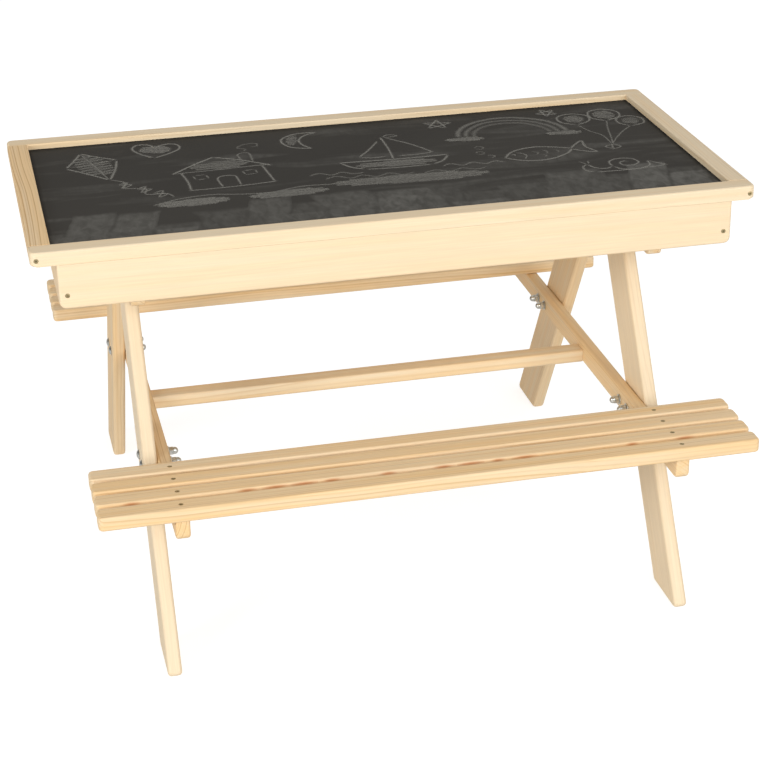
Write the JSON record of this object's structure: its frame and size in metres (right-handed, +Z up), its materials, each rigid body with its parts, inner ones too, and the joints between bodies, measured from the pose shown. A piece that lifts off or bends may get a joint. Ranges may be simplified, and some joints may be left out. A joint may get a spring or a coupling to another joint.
{
  "type": "kids picnic table",
  "caption": "Low pine picnic table for children with slatted benches on splayed bolted legs and a lift-off chalkboard lid over a shallow play box.",
  "frame": {"origin": "on the floor, under the middle of the table", "axes": "+X along the table to the right as seen from the front bench, +Y across it to the back, +Z up"},
  "size_m": [0.92, 0.7834, 0.53],
  "materials": {
    "pine": "planed and sanded pine, clear matt finish, pale cream with tan grain",
    "chalkboard": "hardboard with matt dark grey chalkboard paint",
    "plywood": "thin bare plywood",
    "zinc_steel": "bright zinc plated steel"
  },
  "bodies": {
    "table": {"box_front_apron": "pine", "box_back_apron": "pine", "box_left_end": "pine", "box_right_end": "pine", "box_floor": "plywood", "leg_front_left": "pine", "leg_front_right": "pine", "leg_back_left": "pine", "leg_back_right": "pine", "top_rail_left": "pine", "top_rail_right": "pine", "seat_beam_left": "pine", "seat_beam_right": "pine", "stretcher": "pine", "front_slat_1": "pine", "front_slat_2": "pine", "front_slat_3": "pine", "front_slat_4": "pine", "back_slat_1": "pine", "back_slat_2": "pine", "back_slat_3": "pine", "back_slat_4": "pine", "bolt_front_left_1": "zinc_steel", "bolt_front_left_2": "zinc_steel", "bolt_front_right_1": "zinc_steel", "bolt_front_right_2": "zinc_steel", "bolt_back_left_1": "zinc_steel", "bolt_back_left_2": "zinc_steel", "bolt_back_right_1": "zinc_steel", "bolt_back_right_2": "zinc_steel", "washer_front_left_1": "zinc_steel", "washer_front_left_2": "zinc_steel", "washer_front_right_1": "zinc_steel", "washer_front_right_2": "zinc_steel", "washer_back_left_1": "zinc_steel", "washer_back_left_2": "zinc_steel", "washer_back_right_1": "zinc_steel", "washer_back_right_2": "zinc_steel", "nut_front_left_1": "zinc_steel", "nut_front_left_2": "zinc_steel", "nut_front_right_1": "zinc_steel", "nut_front_right_2": "zinc_steel", "nut_back_left_1": "zinc_steel", "nut_back_left_2": "zinc_steel", "nut_back_right_1": "zinc_steel", "nut_back_right_2": "zinc_steel"},
    "lid": {"lid_front_rail": "pine", "lid_back_rail": "pine", "lid_left_rail": "pine", "lid_right_rail": "pine", "lid_chalkboard": "chalkboard"}
  },
  "joints": [
    {"name": "lid_lift", "type": "slide", "parent": "table", "child": "lid", "axis": [0, 0, 1], "range_m": [0, 0.1]}
  ]
}
